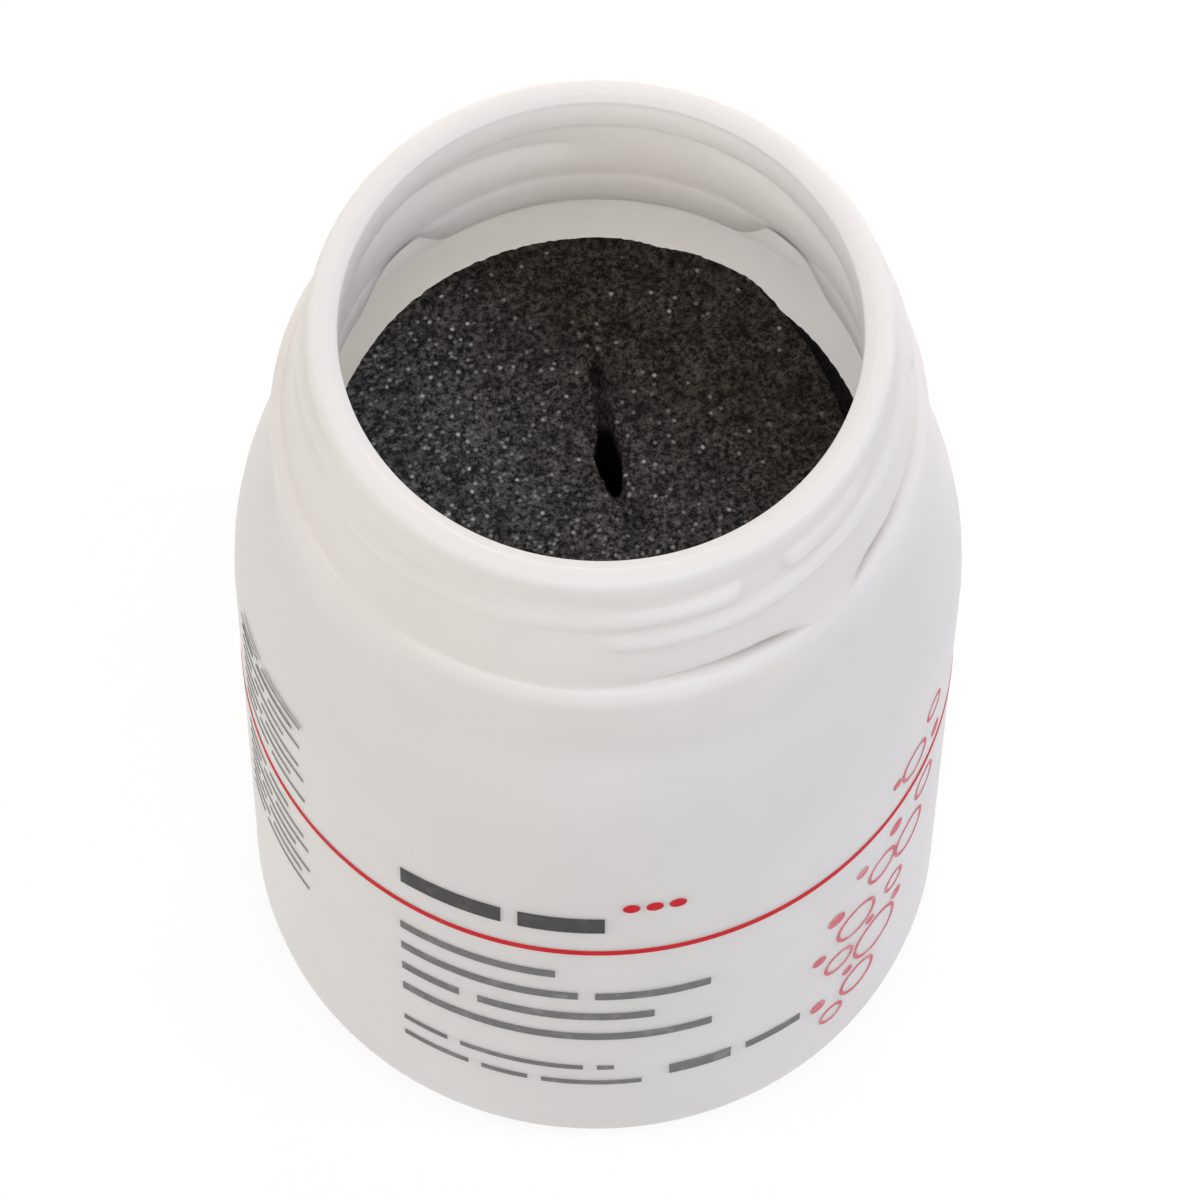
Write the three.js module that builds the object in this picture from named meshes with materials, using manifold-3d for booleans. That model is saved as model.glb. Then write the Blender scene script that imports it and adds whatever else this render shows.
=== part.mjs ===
// Open pot of nail polish remover: a blow-moulded wide-mouth jar with a slit foam sponge standing in it.
// Millimetres, +Z up. The origin is the centre of the standing face, and the jar's front looks along -Y.
import * as THREE from 'three';
import { mergeVertices } from 'three/addons/utils/BufferGeometryUtils.js';
import Module from 'manifold-3d';

// Jar body, from the floor up to the neck
const BODY_DIAMETER = 50;
const WALL = 1.3;
const HEEL_RADIUS = 3.5;
const STANDING_RING_WIDTH = 5;
const PUSH_UP_HEIGHT = 1.4;
const BODY_HEIGHT = 45;
const SHOULDER_HEIGHT = 12.8;
const SHOULDER_BEND = 5.6;

// Neck: a rounded collar stands on the shoulder, and a tapered wall for the closure rises out of it
const COLLAR_HEIGHT = 6.5;
const COLLAR_OVERHANG = 1.1;
const COLLAR_DRAFT = 0.2;
const NECK_WALL_HEIGHT = 6.2;
const NECK_DRAFT = 1.4;
const NECK_STEP = 0.3;

// Groove above the collar, moulded in four arcs with a plain bridge between each two
const GROOVE_RISE = 1.1;
const GROOVE_BROW = 1.2;
const GROOVE_DEPTH = 0.7;
const BRIDGE_SWELL = 0.3;
const GROOVE_ARCS = 4;
const FIRST_BRIDGE_AZIMUTH = THREE.MathUtils.degToRad(47.5);
const BRIDGE_ANGLE = THREE.MathUtils.degToRad(9);
const BRIDGE_RAMP_ANGLE = THREE.MathUtils.degToRad(5);

// Inside the neck the wall is thicker behind each arc of the groove and ends in a short step
const INNER_FOOT_DROP = 1.2;
const INNER_RIB_HEIGHT = 3.4;
const INNER_BRIDGE_HEIGHT = 0.4;
const INNER_STEP_RISE = 0.8;

// Lip: a rounded rim, thicker than the wall below it, with a flat land on which a liner seals
const MOUTH_DIAMETER = 34.4;
const LIP_HEIGHT = 3.2;
const LIP_STEP_RISE = 0.5;
const LIP_UNDERSIDE_RISE = 0.9;
const LIP_INNER_ROUND = 0.4;
const LIP_LAND = 0.5;
const LIP_OUTER_ROUND = 1;

// Foam sponge
const SPONGE_WALL_CLEARANCE = 5;
const SPONGE_SEAT_GAP = 0.3;
const SPONGE_DROP_BELOW_COLLAR = 1.8;
const SPONGE_EDGE_RADIUS = 1.5;
const SLIT_LENGTH = 15;
const SLIT_WIDTH = 1.8;
const SLIT_DEPTH = 30;
const SLIT_OFFSET_X = 1.9;
const SLIT_OFFSET_Y = 2.9;
const SLIT_TURN = THREE.MathUtils.degToRad(14);

// Facets
const JAR_SEGMENTS = 72;
const SPONGE_SEGMENTS = 48;
const CURVE_DIVISIONS = 3;
const FLOOR_STEPS = 4;

// Radii
const bodyRadius = BODY_DIAMETER / 2;
const ringInnerRadius = bodyRadius - HEEL_RADIUS - STANDING_RING_WIDTH;
const mouthRadius = MOUTH_DIAMETER / 2;
const lipRadius = mouthRadius + LIP_INNER_ROUND + LIP_LAND + LIP_OUTER_ROUND;
const neckTopRadius = lipRadius + NECK_STEP;
const neckFootRadius = neckTopRadius + NECK_DRAFT;
const collarRadius = neckFootRadius + COLLAR_OVERHANG;
const collarFootRadius = collarRadius - COLLAR_DRAFT;
const spongeRadius = bodyRadius - WALL - SPONGE_WALL_CLEARANCE;

// Heights
const collarFootZ = BODY_HEIGHT + SHOULDER_HEIGHT;
const collarCrestZ = collarFootZ + COLLAR_HEIGHT;
const grooveZ = collarCrestZ + GROOVE_RISE;
const neckFootZ = grooveZ + GROOVE_BROW;
const lipFootZ = neckFootZ + NECK_WALL_HEIGHT;
const lipTopZ = lipFootZ + LIP_HEIGHT;
const innerFootZ = collarCrestZ - INNER_FOOT_DROP;
const spongeTopZ = collarFootZ - SPONGE_DROP_BELOW_COLLAR;

const jarPlastic = new THREE.MeshStandardMaterial({ color: 0xe9e7e4, roughness: 0.4, metalness: 0 });
const spongeFoam = new THREE.MeshStandardMaterial({ color: 0x2b2827, roughness: 0.95, metalness: 0 });

// Height of the base's shallow hollow at a radius: a parabola that dies out at the standing ring.
function pushUp(radius) {
  const share = Math.min(radius / ringInnerRadius, 1);
  return PUSH_UP_HEIGHT * (1 - share * share);
}

// The hollow's points from the axis out to a radius, raised by a lift.
function hollowPoints(outerRadius, lift) {
  const points = [];
  for (let step = 0; step <= FLOOR_STEPS; step += 1) {
    const radius = (outerRadius * step) / FLOOR_STEPS;
    points.push(new THREE.Vector2(radius, pushUp(radius) + lift));
  }
  return points;
}

// Closed section of the jar's wall: out along the base, up the outside, over the lip and down the inside.
// The arc's share is 1 along an arc of the neck groove and 0 on a bridge.
function jarSection(arcShare) {
  const grooveRadius = neckFootRadius + BRIDGE_SWELL - GROOVE_DEPTH * arcShare;
  const innerRadius = bodyRadius - WALL;
  const innerNeckRadius = neckFootRadius - WALL;
  const ribFootZ = innerFootZ - THREE.MathUtils.lerp(INNER_BRIDGE_HEIGHT, INNER_RIB_HEIGHT, arcShare);
  const heelCentre = bodyRadius - HEEL_RADIUS;
  const innerHeel = HEEL_RADIUS - WALL;
  const wall = new THREE.Path();

  wall.moveTo(ringInnerRadius, 0);
  wall.lineTo(heelCentre, 0);
  wall.absarc(heelCentre, HEEL_RADIUS, HEEL_RADIUS, -Math.PI / 2, 0, false);
  wall.lineTo(bodyRadius, BODY_HEIGHT);
  wall.quadraticCurveTo(bodyRadius, BODY_HEIGHT + SHOULDER_BEND, collarFootRadius, collarFootZ);
  wall.lineTo(collarRadius, collarCrestZ);
  wall.quadraticCurveTo(collarRadius, grooveZ, grooveRadius, grooveZ);
  wall.lineTo(neckFootRadius, neckFootZ);
  wall.lineTo(neckTopRadius, lipFootZ);

  wall.lineTo(lipRadius, lipFootZ + LIP_STEP_RISE);
  const outerRoundZ = lipTopZ - LIP_OUTER_ROUND;
  wall.absarc(lipRadius - LIP_OUTER_ROUND, outerRoundZ, LIP_OUTER_ROUND, 0, Math.PI / 2, false);
  const innerRoundZ = lipTopZ - LIP_INNER_ROUND;
  wall.absarc(mouthRadius + LIP_INNER_ROUND, innerRoundZ, LIP_INNER_ROUND, Math.PI / 2, Math.PI, false);
  wall.lineTo(mouthRadius, lipFootZ);

  wall.lineTo(neckTopRadius - WALL, lipFootZ - LIP_UNDERSIDE_RISE);
  wall.lineTo(innerNeckRadius, innerFootZ);
  wall.lineTo(innerNeckRadius, ribFootZ);
  wall.lineTo(collarFootRadius - WALL, ribFootZ - INNER_STEP_RISE);
  wall.lineTo(collarFootRadius - WALL, collarFootZ);
  wall.quadraticCurveTo(innerRadius, BODY_HEIGHT + SHOULDER_BEND, innerRadius, BODY_HEIGHT);
  wall.absarc(heelCentre, HEEL_RADIUS, innerHeel, 0, -Math.PI / 2, true);

  const outside = hollowPoints(ringInnerRadius, 0).slice(0, -1);
  const inside = hollowPoints(ringInnerRadius, WALL).reverse();
  return [...outside, ...wall.getPoints(CURVE_DIVISIONS), ...inside];
}

// Share of a bridge at an azimuth: 0 along a groove's arc, 1 mid-bridge, with a ramp between.
function bridgeShare(azimuth) {
  const pitch = (2 * Math.PI) / GROOVE_ARCS;
  const turned = THREE.MathUtils.euclideanModulo(azimuth - FIRST_BRIDGE_AZIMUTH + pitch / 2, pitch);
  const distance = Math.abs(turned - pitch / 2);
  const half = BRIDGE_ANGLE / 2;
  return 1 - THREE.MathUtils.smoothstep(distance, half, half + BRIDGE_RAMP_ANGLE);
}

// The jar turned from its grooved section, eased to the plain section on the bridges.
function jarGeometry() {
  const jar = new THREE.LatheGeometry(jarSection(1), JAR_SEGMENTS);
  const bridged = new THREE.LatheGeometry(jarSection(0), JAR_SEGMENTS);
  const position = jar.attributes.position;
  const point = new THREE.Vector3();
  const bridgePoint = new THREE.Vector3();
  for (let index = 0; index < position.count; index += 1) {
    point.fromBufferAttribute(position, index);
    bridgePoint.fromBufferAttribute(bridged.attributes.position, index);
    point.lerp(bridgePoint, bridgeShare(Math.atan2(point.x, point.z)));
    position.setXYZ(index, point.x, point.y, point.z);
  }
  return jar.rotateX(Math.PI / 2);
}

// Foam cylinder with a rounded top edge and an underside that settles on the jar's raised floor.
function spongeBlank() {
  const section = new THREE.Path();
  section.moveTo(spongeRadius, pushUp(spongeRadius) + WALL + SPONGE_SEAT_GAP);
  section.lineTo(spongeRadius, spongeTopZ - SPONGE_EDGE_RADIUS);
  const edgeCentre = spongeRadius - SPONGE_EDGE_RADIUS;
  const edgeZ = spongeTopZ - SPONGE_EDGE_RADIUS;
  section.absarc(edgeCentre, edgeZ, SPONGE_EDGE_RADIUS, 0, Math.PI / 2, false);
  section.lineTo(0, spongeTopZ);
  const underside = hollowPoints(spongeRadius, WALL + SPONGE_SEAT_GAP).slice(0, -1);
  const points = [...underside, ...section.getPoints(CURVE_DIVISIONS)];
  return new THREE.LatheGeometry(points, SPONGE_SEGMENTS).rotateX(Math.PI / 2);
}

// The cut a finger goes into: two bowed sides that meet in a point at each end.
function slitTool() {
  const lens = new THREE.Shape();
  lens.moveTo(0, SLIT_LENGTH / 2);
  lens.quadraticCurveTo(-SLIT_WIDTH, 0, 0, -SLIT_LENGTH / 2);
  lens.quadraticCurveTo(SLIT_WIDTH, 0, 0, SLIT_LENGTH / 2);
  const options = { depth: 2 * SLIT_DEPTH, bevelEnabled: false, curveSegments: 2 * CURVE_DIVISIONS };
  const tool = new THREE.ExtrudeGeometry(lens, options).rotateZ(SLIT_TURN);
  return tool.translate(SLIT_OFFSET_X, SLIT_OFFSET_Y, spongeTopZ - SLIT_DEPTH);
}

const wasm = await Module();
wasm.setup();

function toSolid(geometry) {
  const bare = geometry.clone().deleteAttribute('normal').deleteAttribute('uv');
  const merged = mergeVertices(bare);
  const vertProperties = new Float32Array(merged.attributes.position.array);
  const mesh = new wasm.Mesh({ numProp: 3, vertProperties, triVerts: new Uint32Array(merged.index.array) });
  return new wasm.Manifold(mesh);
}

function toGeometry(solid) {
  const mesh = solid.getMesh();
  const geometry = new THREE.BufferGeometry();
  geometry.setAttribute('position', new THREE.BufferAttribute(mesh.vertProperties, 3));
  geometry.setIndex(new THREE.BufferAttribute(mesh.triVerts, 1));
  geometry.computeVertexNormals();
  return geometry;
}

function namedMesh(name, geometry, material) {
  const mesh = new THREE.Mesh(geometry, material);
  mesh.name = name;
  return mesh;
}

const jar = namedMesh('jar', jarGeometry(), jarPlastic);
const slitSponge = toSolid(spongeBlank()).subtract(toSolid(slitTool()));
const sponge = namedMesh('sponge', toGeometry(slitSponge), spongeFoam);

const pot = new THREE.Group();
pot.add(jar, sponge);

export default pot;
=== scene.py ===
import math

import bmesh
import bpy
from mathutils import Matrix, Vector, noise


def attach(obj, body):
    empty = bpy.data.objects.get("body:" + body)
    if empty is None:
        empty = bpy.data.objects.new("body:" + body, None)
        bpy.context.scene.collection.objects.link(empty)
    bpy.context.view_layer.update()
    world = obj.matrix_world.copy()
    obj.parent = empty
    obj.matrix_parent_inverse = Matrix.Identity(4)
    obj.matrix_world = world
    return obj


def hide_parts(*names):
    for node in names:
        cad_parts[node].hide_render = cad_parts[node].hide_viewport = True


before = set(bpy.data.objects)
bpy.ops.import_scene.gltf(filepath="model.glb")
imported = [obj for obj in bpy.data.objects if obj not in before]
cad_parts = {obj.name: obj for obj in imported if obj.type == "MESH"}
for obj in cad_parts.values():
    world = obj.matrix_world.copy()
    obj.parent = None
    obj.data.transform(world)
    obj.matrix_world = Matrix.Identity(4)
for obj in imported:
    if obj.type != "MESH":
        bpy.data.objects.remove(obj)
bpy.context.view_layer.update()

# Sizes are in millimetres and azimuths in degrees from the front, -Y, towards the right, +X
MM = 0.001
WHITE = (1.0, 1.0, 1.0, 1.0)
UPRIGHT = (0, 0, 1)
MERGE_DISTANCE = 1e-5

# Jar wall: radius, height and corner rounding, from the base's centre up the outside
BODY_RADIUS = 25.0
LIP_TOP = 76.0
JAR_OUTSIDE = (
    (0.0, 1.4, 0.0), (4.1, 1.31, 0.0), (8.2, 1.05, 0.0), (12.4, 0.61, 0.0), (16.5, 0.0, 1.2),
    (BODY_RADIUS, 0.0, 3.5), (BODY_RADIUS, 50.6, 5.6), (21.7, 57.8, 1.2), (21.9, 65.4, 1.1),
    (20.4, 65.4, 0.3), (20.8, 66.6, 0.5), (19.4, 72.8, 0.25), (19.15, 73.3, 0.35),
    (19.15, LIP_TOP, 0.5),
)
# Over the lip and down the inside to the floor
JAR_INSIDE = (
    (17.8, LIP_TOP, 0.08), (17.74, 75.92, 0.08), (17.1, 75.88, 0.12), (17.05, 73.0, 0.12),
    (17.5, 72.4, 0.3), (18.0, 65.7, 0.8), (18.35, 64.7, 0.2), (18.15, 64.0, 0.5),
    (18.35, 61.7, 1.0), (18.8, 60.5, 0.2), (19.6, 60.2, 0.2), (20.2, 57.8, 0.8),
    (23.7, 50.6, 5.6), (23.7, 1.3, 2.2), (16.5, 1.3, 1.0), (12.4, 1.91, 0.0),
    (8.2, 2.35, 0.0), (4.1, 2.61, 0.0), (0.0, 2.7, 0.0),
)
JAR_STEPS = 288
CORNER_SEGMENTS = 5
# The neck is shaped between these heights, and the section's edges are short above the first
NECK_FLOOR, NECK_TOP = 57.0, 74.5
NECK_EDGE, BODY_EDGE = 0.26, 3.0
# A cone in the neck's wall parts outside from inside: a radius, its height, the taper below
MIDDLE_RADIUS, MIDDLE_HEIGHT, MIDDLE_TAPER = 18.4, 72.8, 0.18
# Marks the wall's inside, from nothing at the lip's top to full below it
INNER_LAYER = "inner_wall"
INNER_FADE = (75.95, 75.3)

# Groove above the collar: four arcs with a plain bridge between each two
ARC_PITCH = 90.0
BRIDGE_AZIMUTH = 47.5
BRIDGE_HALF, BRIDGE_RAMP, BRIDGE_LEAD = 2.0, 12.0, 3.5
GROOVE_LOW, GROOVE_HIGH = 64.3, 66.7
COLLAR_RADIUS, NECK_FOOT_RADIUS = 21.9, 20.8
# The mould gave less detail on the left: azimuth and the share of the relief left there
RELIEF_AZIMUTHS = (-180.0, -130.0, -105.0, -5.0, 22.0, 180.0)
RELIEF_SHARES = (1.0, 1.0, 0.35, 0.35, 1.0, 1.0)
# A narrow crevice at the groove's foot, where the share of relief is high enough
CREVICE_HEIGHT, CREVICE_HALF, CREVICE_FLAT, CREVICE_DEPTH = 65.45, 0.5, 0.05, 0.6
CREVICE_RADIUS = NECK_FOOT_RADIUS + 0.1
CREVICE_RELIEF = (0.6, 1.0)
# Painted shade in it, darkening the plastic's colour: the most, and the turns from a bridge where
# it is still full and where it is gone
CREVICE_LAYER = "crevice_painted_shade"
CREVICE_SHADE, CREVICE_SHADE_NEAR, CREVICE_SHADE_FAR = 0.45, 12.0, 30.0
# A rib inside behind each arc: heights of its section, and where they go on a bridge
RIB_HEIGHTS = (57.8, 60.2, 60.5, 61.7, 64.0, 64.7)
RIB_HEIGHTS_ON_BRIDGE = (57.8, 64.0, 64.15, 64.4, 64.6, 64.7)

# Thread: four starts, right-hand, each bead broken once near its top
THREAD_STARTS = 4
THREAD_PITCH = 360.0 / THREAD_STARTS
THREAD_AZIMUTH = 2.0
THREAD_START_HEIGHT = 69.9
THREAD_RISE = 0.0232
BEAD_HALF_WIDTH, BEAD_FLAT_SHARE = 0.85, 0.3
BEAD_HEIGHT, BEAD_TOP_HEIGHT = 0.65, 0.5
# Each stretch's first and last turn, and the turns over which it rises and falls
BEAD_SPANS = ((0.0, 115.5, 5.0, 1.5), (126.0, 150.0, 1.5, 14.0))
BEAD_RUN = BEAD_SPANS[-1][1]
BEAD_RUN_UP = 20.0
# Its trace inside: a hollow, steep above and slow below, by each bead's first stretch
TRACE_START_HEIGHT = 69.0
TRACE_RISE = 0.042
TRACE_DEPTH = 0.4
TRACE_ABOVE, TRACE_BELOW = 1.1, 2.8
TRACE_SPAN = (0.0, 9.0, 55.0, 75.0)
TRACE_FADE = (72.6, 72.0)

# Print on the body: a film of ink, laid out as arc length from the front and height
FILM_FOOT, FILM_TOP = 0.006, 0.035
FILM_MIDDLE, FILM_THICKNESS = (FILM_FOOT + FILM_TOP) / 2, FILM_TOP - FILM_FOOT
BAR_EDGE = 0.5
RING_STEPS, DOT_STEPS = 36, 28
STRIPE_HEIGHT, STRIPE_WIDTH = 33.25, 0.65
# Bars: first and last arc length, height and width
HEADING_BARS = ((-13.9, -6.4, 37.6, 2.2), (-5.2, 0.8, 37.6, 2.2))
LINE_BARS = (
    (-14.1, -2.6, 29.4, 1.05), (-14.1, -1.0, 26.0, 1.05), (0.2, 8.4, 26.0, 1.05),
    (-14.1, -9.6, 22.6, 1.05), (-8.2, 4.4, 22.6, 1.05), (-14.1, 8.6, 19.2, 1.05),
)
SMALL_BARS = (
    (-14.1, -10.6, 13.8, 0.65), (-9.6, -0.6, 13.8, 0.65), (0.4, 1.6, 13.8, 0.65),
    (-14.1, -9.0, 11.2, 0.65), (-8.0, -4.6, 11.2, 0.65), (-3.6, 3.6, 11.2, 0.65),
    (5.6, 10.2, 12.4, 1.5), (11.4, 15.9, 12.4, 1.0),
)
# Rows of fine bars on the left, each broken once
NOTE_ROWS = 17
NOTE_TOP, NOTE_PITCH, NOTE_WIDTH = 47.0, 1.6, 0.4
NOTE_START, NOTE_GAP = -33.0, 0.7
NOTE_BREAKS = (-29.2, -30.4, -28.4, -31.0, -29.8)
NOTE_ENDS = (-23.2, -24.3, -23.4, -25.6, -23.7, -23.2, -24.9)
# Dots and bubbles: arc length, height and radius
HEADING_DOTS = ((2.6, 40.2, 0.6), (4.2, 40.2, 0.6), (5.8, 40.2, 0.6))
BUBBLE_LINE = 0.32
BUBBLE_RINGS = (
    (19.0, 8.6, 1.0), (21.6, 11.0, 1.7), (23.4, 15.6, 2.3), (19.4, 17.0, 1.3), (21.0, 21.4, 1.9),
    (25.4, 20.8, 1.0), (23.6, 26.2, 1.5), (27.2, 25.4, 1.9), (29.2, 30.0, 1.4), (27.0, 37.0, 1.6),
    (29.8, 40.4, 1.1),
)
BUBBLE_DOTS = (
    (17.6, 11.6, 0.7), (20.4, 13.8, 0.5), (17.4, 19.6, 0.6), (22.6, 18.9, 0.45), (18.8, 24.6, 0.8),
    (21.2, 28.8, 0.6), (25.0, 30.0, 0.75), (26.0, 17.6, 0.6), (30.6, 35.6, 0.7), (24.6, 37.4, 0.5),
)

# Sponge
SPONGE_RADIUS = 18.8
SPONGE_TOP, SPONGE_FLOOR = 56.05, 2.0
SPONGE_SIDE_HEIGHTS = (53.0, 48.0, 30.0, SPONGE_FLOOR)
SPONGE_EDGE = 0.5
SPONGE_GRID = 190
# Unevenness of its top: height, size and a place in the noise
SWELL = (0.25, 9.0, 0.4)
PORES = ((0.10, 0.55, 3.0), (0.06, 0.28, 7.0))
# How far the hand-cut edge stands in, by azimuth, and how far inwards that reaches
EDGE_AZIMUTHS = (
    -180.0, -150.0, -113.0, -60.0, 0.0, 60.0, 109.0, 132.0, 150.0, 160.0, 164.0, 167.0, 172.0,
    180.0,
)
EDGE_INSETS = (0.0, 0.0, 0.2, 0.1, 0.0, 0.0, 0.0, 0.0, 0.1, 0.1, 0.15, 0.3, 0.1, 0.0)
EDGE_REACH, EDGE_CORE = 4.0, 1.0
# Its frayed cells: depth and size
EDGE_FRAY, FRAY_SIZE = 0.07, 0.45
# The rim hangs on the right: depth, width and slope, and azimuths where it narrows, starts, ends
DROOP, DROOP_WIDTH, DROOP_SLOPE = 1.8, 1.75, 0.45
DROOP_NARROWS = (172.0, 110.0)
DROOP_RISE, DROOP_FALL = (50.0, 85.0), (148.0, 136.0)
# Slit: points of its line from the back to the front, each with the half width there
SLIT_LINE = (
    (-0.5, 9.2, 0.03), (-0.35, 8.4, 0.12), (-0.15, 7.2, 0.12), (0.13, 5.33, 0.14),
    (0.42, 3.4, 0.24), (0.53, 1.8, 0.70), (0.82, 0.45, 0.54), (1.26, -1.4, 0.08),
    (2.1, -2.6, 0.05), (3.2, -3.9, 0.02),
)
SLIT_OPEN_DEPTH, SLIT_CLOSED_DEPTH = 14.0, 1.2
# Half widths between which it goes from closed to open, and below which it runs out
SLIT_OPENS, SLIT_RUNS_OUT = (0.18, 0.35), 0.1
# Its wall starts and ends this far outside and inside the half width, wider where it is closed
SLIT_WALL_OUT, SLIT_WALL_IN, SLIT_WALL_MORE = 0.28, 0.1, 0.3
# Its edges sink a little: depth, reach and the half width for all of it
SLIT_SAG, SLIT_SAG_REACH, SLIT_SAG_FULL_HALF = 0.45, 0.9, 0.6
# Distances from it within which the top sinks and within which the grid is fine
SLIT_REACH, SLIT_FINE_REACH = 3.0, 1.4
# A shallow dent in front of the slit
DENT_PLACE, DENT_DEPTH, DENT_REACH = (2.7, -3.5), 0.75, 1.0

# Plastic: its mottle and orange peel, and how far light goes in it before it comes out
MOTTLE_SIZE, PEEL_SIZE, PEEL_DEPTH = 7.0, 0.9, 0.03
LIGHT_REACH_OUTSIDE, LIGHT_REACH_INSIDE = 2.5, 11.0
# Ink: the patches where the screen let less through
PATCH_SIZE = 1.2
# Foam: cells, drawn a little coarser than the real ones so that they show, and clumps of them
GRAIN_SIZE, CLUMP_SIZE, CELL_DEPTH = 0.42, 1.8, 0.1
# Foam is wet towards the front left, and painted light makes its cells paler and cooler there, from
# the first to the second distance from the axis
WET_AND_LIT_SIDE = (-0.5, -0.86, 0.0)
WET_AND_LIT_FROM, WET_AND_LIT_TO = -9.0, 3.0
# Painted shade: the foam goes dark down the slit and the side, between these heights
SHADE_LOW, SHADE_HIGH = 54.2, 55.5
# Two layers of drops, painted as bright glints: turn, spacing, brightness and the share of places
# left dry in wet foam
DROP_GLINT_LAYERS = ((0.35, 0.83, 0.95, 0.62), (1.0, 0.55, 0.6, 0.58))
# The share left dry in dry foam, a drop's radius and its bright core's, the core being a painted
# glint, and how fast drops get dim
DRY_SHARE = 0.93
DROP_RADIUS, DROP_CORE = 0.19, 0.06
DROP_FADE = 1.6

# Camera, as fitted to the photo on a 1200 pixel frame
IMAGE_WIDTH = 1200
FOCAL_PIXELS = 6912.9
CAMERA_DISTANCE = 481.74
CAMERA_ELEVATION = 1.0893
CAMERA_ROLL = 0.0133
CAMERA_TARGET = (0.17, 0.0, 37.72)
SENSOR_WIDTH = 36.0

# Studio, in metres: soft boxes with place, target, size, watts and colour, and the surroundings
SOFT_BOXES = (
    ("top_box", (0.0, -0.3, 0.95), (0.0, 0.0, 0.05), 0.6, 2.3, (0.9, 0.95, 1.0)),
    ("left_box", (-0.85, -0.3, 0.58), (0.0, 0.0, 0.05), 0.6, 1.6, (1.0, 0.94, 0.87)),
    ("right_box", (0.74, -0.2, 0.72), (0.0, 0.0, 0.05), 0.3, 2.2, (0.64, 0.69, 1.0)),
    ("back_box", (0.1, 0.6, 0.2), (0.0, 0.0, 0.06), 0.4, 1.9, (1.0, 0.91, 0.82)),
)
SURROUNDINGS, SURROUNDINGS_LEVEL = (1.0, 0.965, 0.912, 1.0), 0.48
SHEET_HALF = 3.0
# How much of the sheet's look is plain white, the rest being paper that takes the shadow
SHEET_WHITE_SHARE, SHEET_WHITE_LEVEL = 0.8, 1.05


def linear(hex_colour):
    """An sRGB hex colour as linear RGBA."""
    channels = [int(hex_colour[i:i + 2], 16) / 255 for i in (0, 2, 4)]
    return tuple(
        c / 12.92 if c <= 0.04045 else ((c + 0.055) / 1.055) ** 2.4 for c in channels
    ) + (1.0,)


def smooth(low, high, value):
    """0 below low, 1 above high and an eased ramp between; low may be the larger."""
    share = min(max((value - low) / (high - low), 0.0), 1.0)
    return share * share * (3.0 - 2.0 * share)


def between(value, places, results):
    """Linear reading of a table at a value inside its range."""
    for low, high, first, last in zip(places, places[1:], results, results[1:]):
        if value <= high:
            return first + (last - first) * (value - low) / (high - low)
    return results[-1]


def nearest_on(line, x, y):
    """Distance of a place from a line of points, and the points' third value there."""
    best, reading = math.inf, 0.0
    for (x0, y0, value0), (x1, y1, value1) in zip(line, line[1:]):
        along = (x - x0) * (x1 - x0) + (y - y0) * (y1 - y0)
        along = min(max(along / ((x1 - x0) ** 2 + (y1 - y0) ** 2), 0.0), 1.0)
        away = math.hypot(x - x0 - along * (x1 - x0), y - y0 - along * (y1 - y0))
        if away < best:
            best, reading = away, value0 + along * (value1 - value0)
    return best, reading


def add_node(tree, kind, settings=None, values=None, links=None):
    """Adds a node with its settings, the values of its sockets and the links into them."""
    node = tree.nodes.new(kind)
    for name, value in (settings or {}).items():
        setattr(node, name, value)
    for name, value in (values or {}).items():
        node.inputs[name].default_value = value
    for name, socket in (links or {}).items():
        tree.links.new(socket, node.inputs[name])
    return node


def new_material(name):
    """An empty node material, with its tree."""
    material = bpy.data.materials.new(name)
    material.use_nodes = True
    material.node_tree.nodes.clear()
    return material, material.node_tree


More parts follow.
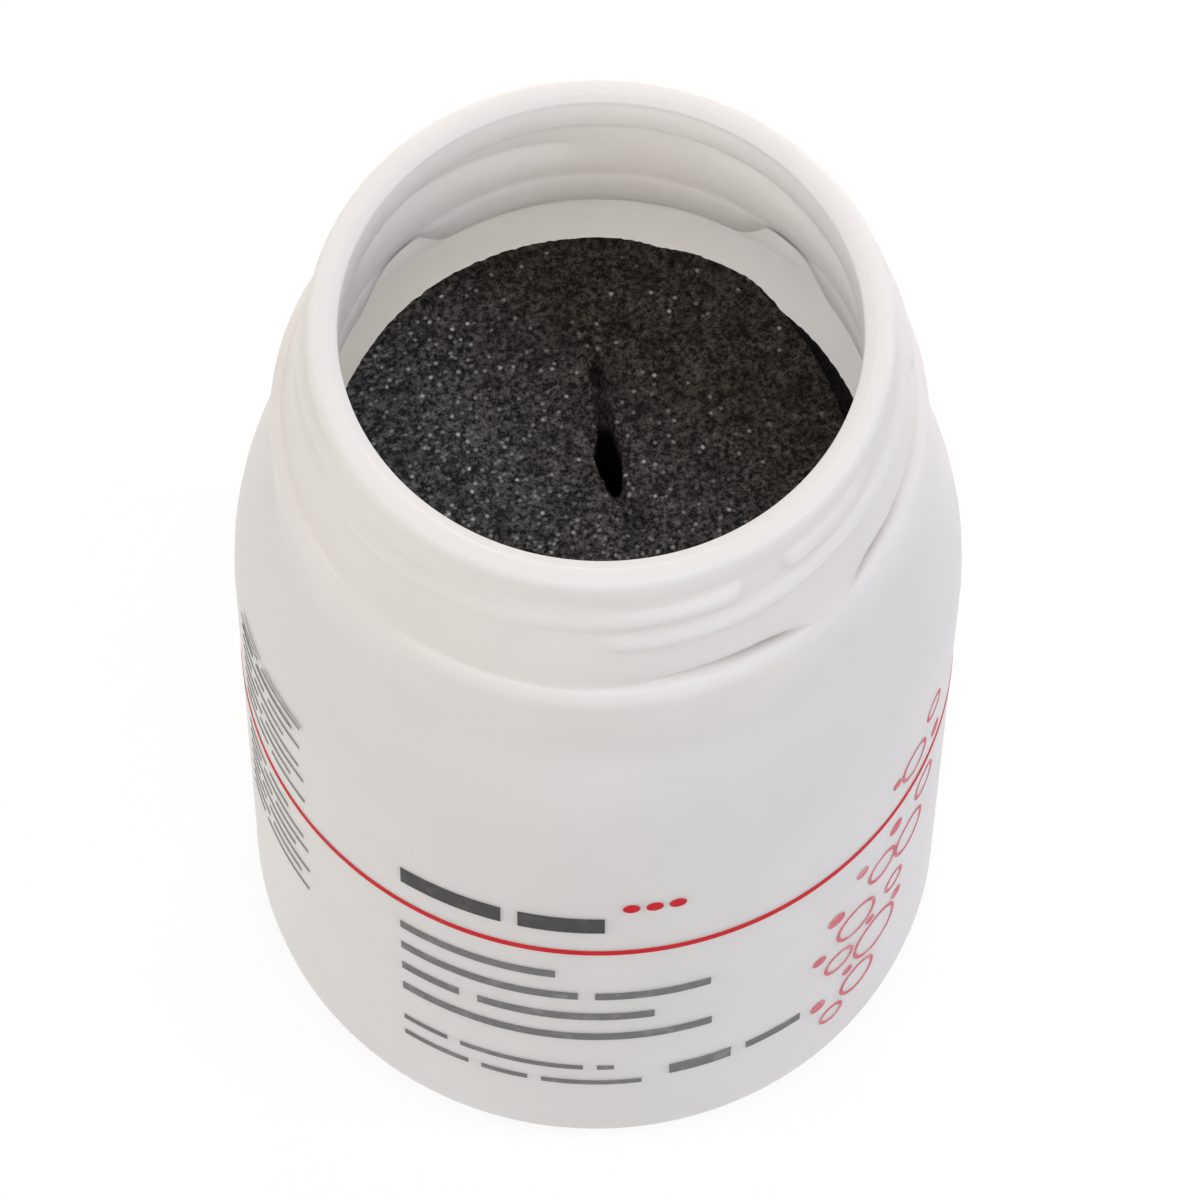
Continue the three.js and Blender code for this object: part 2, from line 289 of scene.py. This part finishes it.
def moulded_polyethylene():
    """White blow-moulded polyethylene: satin, a little translucent, a faint mottle and orange peel.

    Painted shade darkens the crevice under the thread, and the wall's inside shows the light
    that comes through it."""
    material, tree = new_material("blow_moulded_polyethylene")
    place = add_node(tree, "ShaderNodeTexCoord").outputs["Object"]
    mottle = add_node(
        tree, "ShaderNodeTexNoise", None, {"Scale": 1 / (MOTTLE_SIZE * MM), "Detail": 2.0},
        {"Vector": place},
    )
    peel = add_node(
        tree, "ShaderNodeTexNoise", None, {"Scale": 1 / (PEEL_SIZE * MM), "Detail": 2.0},
        {"Vector": place},
    )
    mottled_colour = add_node(
        tree, "ShaderNodeMix", {"data_type": "RGBA"}, {6: linear("F2EEEA"), 7: linear("EDE9E5")},
        {0: mottle.outputs["Fac"]},
    )
    crevice = add_node(tree, "ShaderNodeAttribute", {"attribute_name": CREVICE_LAYER})
    # Painted shade: the crevice layer darkens the colour towards a grey brown
    colour = add_node(
        tree, "ShaderNodeMix", {"data_type": "RGBA"}, {7: linear("8F877C")},
        {0: crevice.outputs["Fac"], 6: mottled_colour.outputs[2]},
    )
    gloss = add_node(
        tree, "ShaderNodeMapRange", None, {"To Min": 0.34, "To Max": 0.44},
        {"Value": mottle.outputs["Fac"]},
    )
    bump = add_node(
        tree, "ShaderNodeBump", None, {"Strength": 0.12, "Distance": PEEL_DEPTH * MM},
        {"Height": peel.outputs["Fac"]},
    )
    inner = add_node(tree, "ShaderNodeAttribute", {"attribute_name": INNER_LAYER})
    share = add_node(
        tree, "ShaderNodeMapRange", None, {"To Min": 0.75, "To Max": 1.0},
        {"Value": inner.outputs["Fac"]},
    )
    reach = add_node(
        tree, "ShaderNodeMapRange", None,
        {"To Min": LIGHT_REACH_OUTSIDE * MM, "To Max": LIGHT_REACH_INSIDE * MM},
        {"Value": inner.outputs["Fac"]},
    )
    shader = add_node(
        tree, "ShaderNodeBsdfPrincipled", None,
        {"IOR": 1.5, "Specular IOR Level": 0.45, "Subsurface Radius": (1.0, 1.0, 0.97)},
        {
            "Base Color": colour.outputs[2], "Roughness": gloss.outputs["Result"],
            "Normal": bump.outputs["Normal"], "Subsurface Weight": share.outputs["Result"],
            "Subsurface Scale": reach.outputs["Result"],
        },
    )
    add_node(tree, "ShaderNodeOutputMaterial", None, None, {"Surface": shader.outputs["BSDF"]})
    return material


def screen_ink(name, colour, faded):
    """Screen-printed ink: an even matt film, slightly starved where the mesh let less through."""
    material, tree = new_material(name)
    place = add_node(tree, "ShaderNodeTexCoord").outputs["Object"]
    patches = add_node(
        tree, "ShaderNodeTexNoise", None, {"Scale": 1 / (PATCH_SIZE * MM), "Detail": 3.0},
        {"Vector": place},
    )
    starved = add_node(
        tree, "ShaderNodeMapRange", None, {"From Min": 0.5, "From Max": 0.75},
        {"Value": patches.outputs["Fac"]},
    )
    paint = add_node(
        tree, "ShaderNodeMix", {"data_type": "RGBA"}, {6: linear(colour), 7: linear(faded)},
        {0: starved.outputs["Result"]},
    )
    shader = add_node(
        tree, "ShaderNodeBsdfPrincipled", None,
        {"Roughness": 0.6, "IOR": 1.48, "Specular IOR Level": 0.15},
        {"Base Color": paint.outputs[2]},
    )
    add_node(tree, "ShaderNodeOutputMaterial", None, None, {"Surface": shader.outputs["BSDF"]})
    return material


def add_drop_glints(tree, place, wet_and_lit, turn, spacing, brightest, rarest):
    """Round beads of liquid a spacing in millimetres apart, each painted as a bright glint, more of
    them where the foam is soaked.
    """
    turned_place = add_node(
        tree, "ShaderNodeMapping", None, {"Rotation": (0.0, 0.0, turn)}, {"Vector": place},
    )
    cells = add_node(
        tree, "ShaderNodeTexVoronoi", {"voronoi_dimensions": "2D"}, {"Scale": 1 / (spacing * MM)},
        {"Vector": turned_place.outputs["Vector"]},
    )
    pick = add_node(tree, "ShaderNodeSeparateColor", None, None, {"Color": cells.outputs["Color"]})
    wanted = add_node(
        tree, "ShaderNodeMapRange", None, {"To Min": DRY_SHARE, "To Max": rarest},
        {"Value": wet_and_lit},
    )
    chosen = add_node(
        tree, "ShaderNodeMapRange", None, {"To Min": 0.0, "To Max": brightest},
        {"Value": pick.outputs["Red"], "From Min": wanted.outputs["Result"]},
    )
    dimmed = add_node(
        tree, "ShaderNodeMath", {"operation": "POWER"}, {1: DROP_FADE},
        {0: chosen.outputs["Result"]},
    )
    near = add_node(
        tree, "ShaderNodeMapRange", None,
        {"From Min": DROP_RADIUS / spacing, "From Max": DROP_CORE / spacing},
        {"Value": cells.outputs["Distance"]},
    )
    drop_glints = add_node(
        tree, "ShaderNodeMath", {"operation": "MULTIPLY"}, None,
        {0: dimmed.outputs["Value"], 1: near.outputs["Result"]},
    )
    return drop_glints.outputs["Value"]


def open_cell_foam():
    """Black open-cell polyurethane foam, soaked: a fine uneven grain, beads of liquid painted as
    bright glints, painted light paling its cells towards the front left, and painted shade down the
    cut and the side.
    """
    material, tree = new_material("open_cell_polyurethane_foam")
    place = add_node(tree, "ShaderNodeTexCoord").outputs["Object"]
    grain = add_node(
        tree, "ShaderNodeTexNoise", None,
        {"Scale": 1 / (GRAIN_SIZE * MM), "Detail": 4.0, "Roughness": 0.85}, {"Vector": place},
    )
    clump = add_node(
        tree, "ShaderNodeTexNoise", None, {"Scale": 1 / (CLUMP_SIZE * MM), "Detail": 3.0},
        {"Vector": place},
    )
    strut = add_node(
        tree, "ShaderNodeMapRange", None, {"From Min": 0.43, "From Max": 0.67},
        {"Value": grain.outputs["Fac"]},
    )
    lit = add_node(
        tree, "ShaderNodeMapRange", None, {"From Min": 0.3, "From Max": 0.7, "To Min": 0.35},
        {"Value": clump.outputs["Fac"]},
    )
    depth = add_node(
        tree, "ShaderNodeMath", {"operation": "MULTIPLY"}, None,
        {0: strut.outputs["Result"], 1: lit.outputs["Result"]},
    )
    towards = add_node(
        tree, "ShaderNodeVectorMath", {"operation": "DOT_PRODUCT"}, {1: WET_AND_LIT_SIDE}, {0: place},
    )
    wet_and_lit = add_node(
        tree, "ShaderNodeMapRange", None, {"From Min": WET_AND_LIT_FROM * MM, "From Max": WET_AND_LIT_TO * MM},
        {"Value": towards.outputs["Value"]},
    )
    dark = add_node(
        tree, "ShaderNodeMix", {"data_type": "RGBA"}, {6: linear("0F0D0B"), 7: linear("151417")},
        {0: wet_and_lit.outputs["Result"]},
    )
    # Painted light: the cells' pale tone is lighter and cooler towards the front left
    pale = add_node(
        tree, "ShaderNodeMix", {"data_type": "RGBA"}, {6: linear("7C7167"), 7: linear("989391")},
        {0: wet_and_lit.outputs["Result"]},
    )
    body = add_node(
        tree, "ShaderNodeMix", {"data_type": "RGBA"}, None,
        {0: depth.outputs["Value"], 6: dark.outputs[2], 7: pale.outputs[2]},
    )
    large, small = [
        add_drop_glints(tree, place, wet_and_lit.outputs["Result"], *layer) for layer in DROP_GLINT_LAYERS
    ]
    drop_glints = add_node(
        tree, "ShaderNodeMath", {"operation": "MAXIMUM"}, None, {0: large, 1: small},
    )
    # Painted highlight: the drops' glints lighten the foam's colour to near white
    glinting = add_node(
        tree, "ShaderNodeMix", {"data_type": "RGBA"}, {7: linear("DADAD8")},
        {0: drop_glints.outputs["Value"], 6: body.outputs[2]},
    )
    level = add_node(tree, "ShaderNodeSeparateXYZ", None, None, {"Vector": place})
    upper = add_node(
        tree, "ShaderNodeMapRange", None, {"From Min": SHADE_LOW * MM, "From Max": SHADE_HIGH * MM},
        {"Value": level.outputs["Z"]},
    )
    # Painted shade: the foam's colour goes near black below its top, down the slit and the side
    colour = add_node(
        tree, "ShaderNodeMix", {"data_type": "RGBA"}, {6: linear("0E0D0C")},
        {0: upper.outputs["Result"], 7: glinting.outputs[2]},
    )
    bump = add_node(
        tree, "ShaderNodeBump", None, {"Strength": 0.8, "Distance": CELL_DEPTH * MM},
        {"Height": depth.outputs["Value"]},
    )
    shader = add_node(
        tree, "ShaderNodeBsdfPrincipled", None,
        {"Roughness": 0.62, "IOR": 1.45, "Specular IOR Level": 0.1},
        {"Base Color": colour.outputs[2], "Normal": bump.outputs["Normal"]},
    )
    add_node(tree, "ShaderNodeOutputMaterial", None, None, {"Surface": shader.outputs["BSDF"]})
    return material


def background_share(tree):
    """1 for the rays that see the background as such: the camera's, mirrored and passed ones."""
    path = add_node(tree, "ShaderNodeLightPath")
    direct = add_node(
        tree, "ShaderNodeMath", {"operation": "MAXIMUM"}, None,
        {0: path.outputs["Is Camera Ray"], 1: path.outputs["Is Glossy Ray"]},
    )
    share = add_node(
        tree, "ShaderNodeMath", {"operation": "MAXIMUM"}, None,
        {0: direct.outputs["Value"], 1: path.outputs["Is Transmission Ray"]},
    )
    return share.outputs["Value"]


def studio_paper():
    """Matt white paper sheet, seen as near white with the object's shadow kept on it."""
    material, tree = new_material("matt_studio_paper")
    share = add_node(
        tree, "ShaderNodeMath", {"operation": "MULTIPLY"}, {1: SHEET_WHITE_SHARE},
        {0: background_share(tree)},
    )
    paper = add_node(tree, "ShaderNodeBsdfDiffuse", None, {"Color": linear("F4F4F4")})
    white = add_node(
        tree, "ShaderNodeEmission", None, {"Color": WHITE, "Strength": SHEET_WHITE_LEVEL},
    )
    mix = add_node(
        tree, "ShaderNodeMixShader", None, None,
        {0: share.outputs["Value"], 1: paper.outputs["BSDF"], 2: white.outputs["Emission"]},
    )
    add_node(tree, "ShaderNodeOutputMaterial", None, None, {"Surface": mix.outputs["Shader"]})
    return material


def placed(name, bm, material):
    """Turns a bmesh into an object of one material at the origin."""
    mesh = bpy.data.meshes.new(name)
    bm.to_mesh(mesh)
    bm.free()
    mesh.materials.append(material)
    piece = bpy.data.objects.new(name, mesh)
    bpy.context.scene.collection.objects.link(piece)
    return piece


def finished(name, bm, material, body, shade_smooth=True):
    """Turns a bmesh in millimetres into a finished piece that rides on a body."""
    bmesh.ops.scale(bm, vec=(MM, MM, MM), verts=bm.verts[:])
    for face in bm.faces:
        face.smooth = shade_smooth
    piece = placed(name, bm, material)
    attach(piece, body)
    return piece


def add_loop(bm, places):
    """A closed wire through a few places."""
    corners = [bm.verts.new(place) for place in places]
    for index, corner in enumerate(corners):
        bm.edges.new((corners[index - 1], corner))


def split_long_edges(bm, longest):
    """Splits each wire edge into parts no longer than a length given at its middle height."""
    for edge in bm.edges[:]:
        limit = longest((edge.verts[0].co.z + edge.verts[1].co.z) / 2)
        cuts = math.ceil(edge.calc_length() / limit) - 1
        if cuts > 0:
            bmesh.ops.subdivide_edges(bm, edges=[edge], cuts=cuts)


def turned(bm, steps):
    """Turns the wire in a bmesh once round the upright axis into a closed skin."""
    bmesh.ops.spin(
        bm, geom=bm.verts[:] + bm.edges[:], cent=(0, 0, 0), axis=UPRIGHT, angle=math.tau,
        steps=steps, use_merge=True,
    )
    bmesh.ops.remove_doubles(bm, verts=bm.verts[:], dist=MERGE_DISTANCE)
    bmesh.ops.recalc_face_normals(bm, faces=bm.faces[:])


def azimuth_of(point):
    """Degrees from the front, -Y, towards the right, +X."""
    return math.degrees(math.atan2(point.x, -point.y))


def bridge_turn(azimuth):
    """Degrees from the nearest bridge between two arcs of the groove."""
    return (azimuth - BRIDGE_AZIMUTH + ARC_PITCH / 2) % ARC_PITCH - ARC_PITCH / 2


def bridge_share(azimuth, lead=0.0):
    """1 on a bridge between two arcs of the groove and 0 along an arc, with an eased ramp between.

    A lead makes the bridge longer on its left."""
    turn = bridge_turn(azimuth)
    half = BRIDGE_HALF + (lead if turn < 0.0 else 0.0)
    return smooth(half + BRIDGE_RAMP, half, abs(turn))


def thread_height(azimuth, height):
    """How far the thread's beads stand out of the neck at an azimuth and a height."""
    most = 0.0
    for start in range(THREAD_STARTS):
        turn = azimuth - THREAD_AZIMUTH - start * THREAD_PITCH
        turn = (turn + BEAD_RUN_UP) % 360.0 - BEAD_RUN_UP
        away = abs(height - THREAD_START_HEIGHT - THREAD_RISE * turn) / BEAD_HALF_WIDTH
        if away >= 1.0:
            continue
        along = min(max(turn, 0.0), BEAD_RUN)
        crest = between(along, (0.0, BEAD_RUN), (BEAD_HEIGHT, BEAD_TOP_HEIGHT))
        for first, last, lead_in, lead_out in BEAD_SPANS:
            inside = smooth(first - lead_in / 2, first + lead_in / 2, turn)
            inside *= smooth(last + lead_out / 2, last - lead_out / 2, turn)
            most = max(most, crest * inside * smooth(1.0, BEAD_FLAT_SHARE, away))
    return most * between(azimuth, RELIEF_AZIMUTHS, RELIEF_SHARES)


def trace_depth(azimuth, height):
    """How deep the thread's trace is in the neck's inside at an azimuth and a height."""
    turn = (azimuth - THREAD_AZIMUTH) % THREAD_PITCH
    above = height - TRACE_START_HEIGHT - TRACE_RISE * turn
    reach = TRACE_ABOVE if above > 0.0 else TRACE_BELOW
    first, full, fading, last = TRACE_SPAN
    along = smooth(first, full, turn) * smooth(last, fading, turn)
    return TRACE_DEPTH * along * smooth(reach, 0.0, abs(above)) * smooth(*TRACE_FADE, height)


def neck_middle(height):
    """Radius halfway through the neck's wall."""
    return MIDDLE_RADIUS + MIDDLE_TAPER * (MIDDLE_HEIGHT - height)


def shape_neck(point):
    """Moves a point of the neck for the groove's bridges, the ribs behind its arcs and the thread.

    Gives the share of painted shade there, which the crevice holds towards an arc's ends."""
    radius = math.hypot(point.x, point.y)
    azimuth = azimuth_of(point)
    height = point.z
    new_radius = radius
    painted_shade = 0.0
    if radius > neck_middle(height):
        if GROOVE_LOW < height < GROOVE_HIGH:
            bridge = bridge_share(azimuth, BRIDGE_LEAD)
            share = smooth(GROOVE_LOW, GROOVE_HIGH, height)
            plain = COLLAR_RADIUS + (NECK_FOOT_RADIUS - COLLAR_RADIUS) * share
            relief = between(azimuth, RELIEF_AZIMUTHS, RELIEF_SHARES)
            filled = 1.0 - (1.0 - bridge) * relief
            new_radius = radius + (max(radius, plain) - radius) * filled
            if radius < CREVICE_RADIUS:
                crisp = (1.0 - bridge) * smooth(*CREVICE_RELIEF, relief)
                crisp *= smooth(CREVICE_HALF, CREVICE_FLAT, abs(height - CREVICE_HEIGHT))
                new_radius -= CREVICE_DEPTH * crisp
                # Painted shade in the crevice's colour, full near a bridge and gone along an arc's
                # middle
                painted_shade = CREVICE_SHADE * crisp * smooth(CREVICE_SHADE_FAR, CREVICE_SHADE_NEAR, abs(bridge_turn(azimuth)))
        new_radius += thread_height(azimuth, height)
    else:
        if RIB_HEIGHTS[0] < height < RIB_HEIGHTS[-1]:
            raised = between(height, RIB_HEIGHTS, RIB_HEIGHTS_ON_BRIDGE)
            point.z = height + (raised - height) * bridge_share(azimuth)
        new_radius += trace_depth(azimuth, height)
    point.x *= new_radius / radius
    point.y *= new_radius / radius
    return painted_shade


def make_jar_shell():
    """The jar: one turned wall with rounded corners, a grooved neck and a raised thread."""
    bm = bmesh.new()
    section = JAR_OUTSIDE + JAR_INSIDE
    corners = [bm.verts.new((radius, 0.0, height)) for radius, height, _ in section]
    for first, second in zip(corners, corners[1:]):
        bm.edges.new((first, second))
    for corner, (_, _, rounding) in zip(corners, section):
        if rounding:
            bmesh.ops.bevel(
                bm, geom=[corner], offset=rounding, offset_type="OFFSET", affect="VERTICES",
                segments=CORNER_SEGMENTS, profile=0.5, material=-1,
            )
    split_long_edges(bm, lambda height: NECK_EDGE if height > NECK_FLOOR else BODY_EDGE)
    inner = bm.verts.layers.float.new(INNER_LAYER)
    for vert in bm.verts:
        from_inside, from_outside = [
            nearest_on(run, vert.co.x, vert.co.z)[0] for run in (JAR_INSIDE, JAR_OUTSIDE)
        ]
        if from_inside < from_outside:
            vert[inner] = smooth(*INNER_FADE, vert.co.z)
    turned(bm, JAR_STEPS)
    # The crevice's painted shade, kept as a layer for the plastic's colour
    painted_shade = bm.verts.layers.float.new(CREVICE_LAYER)
    for vert in bm.verts:
        if NECK_FLOOR < vert.co.z < NECK_TOP:
            vert[painted_shade] = shape_neck(vert.co)
    return finished("jar_shell", bm, moulded_polyethylene(), "jar")


def wrap_on_body(bm):
    """Bends flat ink, laid out as arc length and height, round the body's wall."""
    for vert in bm.verts:
        turn = vert.co.x / BODY_RADIUS
        radius = BODY_RADIUS + vert.co.y
        vert.co = Vector((radius * math.sin(turn), -radius * math.cos(turn), vert.co.z))
    bmesh.ops.recalc_face_normals(bm, faces=bm.faces[:])


def lay_bar(bm, first, last, height, width):
    """A plain bar of ink from one arc length to another."""
    middle = Matrix.Translation(((first + last) / 2, FILM_MIDDLE, height))
    size = Matrix.Diagonal((last - first, FILM_THICKNESS, width, 1.0))
    cube = bmesh.ops.create_cube(bm, size=1.0, matrix=middle @ size)
    long_edges = {
        edge for vert in cube["verts"] for edge in vert.link_edges
        if abs(edge.verts[0].co.x - edge.verts[1].co.x) > MERGE_DISTANCE
    }
    cuts = max(2, math.ceil((last - first) / BAR_EDGE))
    bmesh.ops.subdivide_edges(bm, edges=list(long_edges), cuts=cuts, use_grid_fill=True)


def lay_ring(bm, arc, height, radius):
    """A ring of ink of one line width."""
    ring = bmesh.new()
    inner, outer = radius - BUBBLE_LINE / 2, radius + BUBBLE_LINE / 2
    add_loop(ring, (
        (inner, FILM_FOOT, 0.0), (outer, FILM_FOOT, 0.0),
        (outer, FILM_TOP, 0.0), (inner, FILM_TOP, 0.0),
    ))
    bmesh.ops.spin(
        ring, geom=ring.verts[:] + ring.edges[:], cent=(0, 0, 0), axis=(0, 1, 0), angle=math.tau,
        steps=RING_STEPS, use_merge=True,
    )
    bmesh.ops.translate(ring, vec=(arc, 0.0, height), verts=ring.verts[:])
    mesh = bpy.data.meshes.new("ring")
    ring.to_mesh(mesh)
    ring.free()
    bm.from_mesh(mesh)
    bpy.data.meshes.remove(mesh)


def lay_dot(bm, arc, height, radius):
    """A small solid dot of ink."""
    middle = Matrix.Translation((arc, FILM_MIDDLE, height))
    bmesh.ops.create_cone(
        bm, cap_ends=True, cap_tris=False, segments=DOT_STEPS, radius1=radius, radius2=radius,
        depth=FILM_THICKNESS, matrix=middle @ Matrix.Rotation(math.pi / 2, 4, "X"),
    )


def make_stripe(ink):
    """The thin red line round the body."""
    bm = bmesh.new()
    low, high = STRIPE_HEIGHT - STRIPE_WIDTH / 2, STRIPE_HEIGHT + STRIPE_WIDTH / 2
    foot, top = BODY_RADIUS + FILM_FOOT, BODY_RADIUS + FILM_TOP
    add_loop(bm, ((foot, 0.0, low), (top, 0.0, low), (top, 0.0, high), (foot, 0.0, high)))
    turned(bm, JAR_STEPS)
    return finished("print_stripe", bm, ink, "jar", shade_smooth=False)


def make_bars(name, bars, ink):
    """Plain bars of ink in rows."""
    bm = bmesh.new()
    for bar in bars:
        lay_bar(bm, *bar)
    wrap_on_body(bm)
    return finished(name, bm, ink, "jar", shade_smooth=False)


def make_bubbles(name, rings, dots, ink):
    """A loose rise of ringed bubbles and solid dots."""
    bm = bmesh.new()
    for ring in rings:
        lay_ring(bm, *ring)
    for dot in dots:
        lay_dot(bm, *dot)
    wrap_on_body(bm)
    return finished(name, bm, ink, "jar", shade_smooth=False)


def note_bars():
    """Rows of fine bars, with a clear row where the stripe passes."""
    bars = []
    for row in range(NOTE_ROWS):
        height = NOTE_TOP - row * NOTE_PITCH
        if abs(height - STRIPE_HEIGHT) > STRIPE_WIDTH + NOTE_WIDTH:
            gap = NOTE_BREAKS[row % len(NOTE_BREAKS)]
            end = NOTE_ENDS[row % len(NOTE_ENDS)]
            bars.append((NOTE_START, gap, height, NOTE_WIDTH))
            bars.append((gap + NOTE_GAP, end, height, NOTE_WIDTH))
    return bars


def slit_drop(x, y):
    """How far the sponge's top goes down in and beside the slit."""
    away, half = nearest_on(SLIT_LINE, x, y)
    if away > SLIT_REACH:
        return 0.0
    opened = smooth(*SLIT_OPENS, half)
    depth = SLIT_CLOSED_DEPTH + (SLIT_OPEN_DEPTH - SLIT_CLOSED_DEPTH) * opened
    wall = SLIT_WALL_OUT + SLIT_WALL_MORE * (1.0 - opened)
    if half < SLIT_RUNS_OUT:
        depth *= half / SLIT_RUNS_OUT
    beside = max(away - half, 0.0) / SLIT_SAG_REACH
    sag = SLIT_SAG * smooth(0.0, SLIT_SAG_FULL_HALF, half) * math.exp(-(beside ** 2))
    return depth * smooth(half + wall, half - SLIT_WALL_IN, away) + sag


def edge_droop(x, y, radius):
    """How far the sponge's rim hangs on its right, where it stands off the jar's wall."""
    azimuth = azimuth_of(Vector((x, y)))
    share = smooth(*DROOP_RISE, azimuth) * smooth(*DROOP_FALL, azimuth)
    inner_radius = SPONGE_RADIUS - DROOP_WIDTH * smooth(*DROOP_NARROWS, azimuth)
    return DROOP * share * smooth(inner_radius, inner_radius + DROOP_SLOPE, radius)


def uneven(x, y, height, size, layer):
    """A soft unevenness of one height and size."""
    return height * noise.noise(Vector((x / size, y / size, layer)))


def foam_top(x, y):
    """Height of the sponge's top: rounded edge, slight swell, slit, dent and pores."""
    radius = math.hypot(x, y)
    over = max(radius - (SPONGE_RADIUS - SPONGE_EDGE), 0.0)
    fall = SPONGE_EDGE - math.sqrt(max(SPONGE_EDGE ** 2 - over ** 2, 0.0))
    grain = uneven(x, y, *SWELL) + sum(uneven(x, y, *layer) for layer in PORES)
    from_dent = math.hypot(x - DENT_PLACE[0], y - DENT_PLACE[1]) / DENT_REACH
    dent = DENT_DEPTH * math.exp(-from_dent ** 2)
    return SPONGE_TOP - fall + grain - dent - slit_drop(x, y) - edge_droop(x, y, radius)


def cut_edge(vert):
    """Pulls a point near the sponge's edge in, as far as the cut and its frayed cells do."""
    radius = math.hypot(vert.co.x, vert.co.y)
    if radius > EDGE_CORE:
        inset = between(azimuth_of(vert.co), EDGE_AZIMUTHS, EDGE_INSETS)
        inset += EDGE_FRAY * (1.0 + noise.noise(vert.co / FRAY_SIZE))
        share = smooth(SPONGE_RADIUS - EDGE_REACH, SPONGE_RADIUS, radius)
        vert.co.xy *= 1.0 - inset / radius * share


def is_near_slit(edge):
    """True where an edge's middle is close to the slit's line."""
    first, second = edge.verts[0].co, edge.verts[1].co
    x, y = (first.x + second.x) / 2, (first.y + second.y) / 2
    return nearest_on(SLIT_LINE, x, y)[0] < SLIT_FINE_REACH


def make_sponge():
    """The foam sponge: a fine-grained top with a cut in it, and a plain side to the jar's floor."""
    bm = bmesh.new()
    bmesh.ops.create_grid(bm, x_segments=SPONGE_GRID, y_segments=SPONGE_GRID, size=1.0)
    for vert in bm.verts:
        x, y = vert.co.x, vert.co.y
        vert.co.x = SPONGE_RADIUS * x * math.sqrt(1 - y * y / 2)
        vert.co.y = SPONGE_RADIUS * y * math.sqrt(1 - x * x / 2)
    near_slit = [edge for edge in bm.edges if is_near_slit(edge)]
    bmesh.ops.subdivide_edges(bm, edges=near_slit, cuts=1, use_grid_fill=True)
    rim = [edge for edge in bm.edges if edge.is_boundary]
    for vert in bm.verts:
        vert.co.z = foam_top(vert.co.x, vert.co.y)
    for vert in bm.verts:
        cut_edge(vert)
    for height in SPONGE_SIDE_HEIGHTS:
        ring = bmesh.ops.extrude_edge_only(bm, edges=rim)["geom"]
        rim = [part for part in ring if isinstance(part, bmesh.types.BMEdge) and part.is_boundary]
        for vert in {vert for edge in rim for vert in edge.verts}:
            vert.co.z = height
    bmesh.ops.edgeloop_fill(bm, edges=rim)
    bmesh.ops.recalc_face_normals(bm, faces=bm.faces[:])
    return finished("sponge_foam", bm, open_cell_foam(), "sponge")


def make_floor():
    """A wide white sheet under the jar."""
    bm = bmesh.new()
    bmesh.ops.create_grid(bm, x_segments=1, y_segments=1, size=SHEET_HALF)
    floor = placed("studio_sheet", bm, studio_paper())


def make_camera():
    """The camera at the photo's place, with its small roll."""
    across = Vector((1.0, 0.0, 0.0))
    forward = Vector((0.0, math.cos(CAMERA_ELEVATION), -math.sin(CAMERA_ELEVATION)))
    upward = Vector((0.0, math.sin(CAMERA_ELEVATION), math.cos(CAMERA_ELEVATION)))
    right = across * math.cos(CAMERA_ROLL) + upward * math.sin(CAMERA_ROLL)
    up = upward * math.cos(CAMERA_ROLL) - across * math.sin(CAMERA_ROLL)
    place = Matrix((right, up, -forward)).transposed().to_4x4()
    place.translation = (Vector(CAMERA_TARGET) - forward * CAMERA_DISTANCE) * MM
    lens = bpy.data.cameras.new("camera")
    lens.sensor_width = SENSOR_WIDTH
    lens.lens = FOCAL_PIXELS * SENSOR_WIDTH / IMAGE_WIDTH
    lens.clip_start = 0.05
    camera = bpy.data.objects.new("camera", lens)
    camera.matrix_world = place
    bpy.context.scene.collection.objects.link(camera)
    bpy.context.scene.camera = camera


def make_lamp(name, place, target, size, power, colour):
    """A square soft box that looks at a target."""
    data = bpy.data.lights.new(name, "AREA")
    data.shape = "SQUARE"
    data.size = size
    data.energy = power
    data.color = colour
    lamp = bpy.data.objects.new(name, data)
    lamp.location = place
    lamp.visible_camera = False
    lamp.rotation_euler = (Vector(target) - Vector(place)).to_track_quat("-Z", "Y").to_euler()
    bpy.context.scene.collection.objects.link(lamp)


def make_world():
    """Even, slightly warm surroundings, seen as white by the camera."""
    world = bpy.data.worlds.new("soft_surroundings")
    world.use_nodes = True
    tree = world.node_tree
    tree.nodes.clear()
    around = add_node(
        tree, "ShaderNodeBackground", None,
        {"Color": SURROUNDINGS, "Strength": SURROUNDINGS_LEVEL},
    )
    white = add_node(tree, "ShaderNodeBackground", None, {"Color": WHITE, "Strength": 1.0})
    mix = add_node(
        tree, "ShaderNodeMixShader", None, None,
        {
            0: background_share(tree), 1: around.outputs["Background"],
            2: white.outputs["Background"],
        },
    )
    add_node(tree, "ShaderNodeOutputWorld", None, None, {"Surface": mix.outputs["Shader"]})
    bpy.context.scene.world = world


make_camera()
make_world()
make_floor()
for soft_box in SOFT_BOXES:
    make_lamp(*soft_box)

jar_shell = make_jar_shell()
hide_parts("jar")

red_ink = screen_ink("red_screen_ink", "D6101F", "DA2835")
pink_ink = screen_ink("pink_screen_ink", "DF7680", "EAA9AD")
grey_ink = screen_ink("grey_screen_ink", "7A7978", "949291")
dark_ink = screen_ink("dark_grey_screen_ink", "4A4948", "5C5B5A")
pale_ink = screen_ink("pale_grey_screen_ink", "8E8D8C", "A5A4A3")

make_stripe(red_ink)
make_bars("print_heading", HEADING_BARS, dark_ink)
make_bars("print_lines", LINE_BARS + SMALL_BARS, grey_ink)
make_bubbles("print_dots", (), HEADING_DOTS, red_ink)
make_bars("print_notes", note_bars(), pale_ink)
make_bubbles("print_bubbles", BUBBLE_RINGS, BUBBLE_DOTS, pink_ink)

sponge_foam = make_sponge()
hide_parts("sponge")

bpy.context.scene.view_settings.view_transform = "Standard"
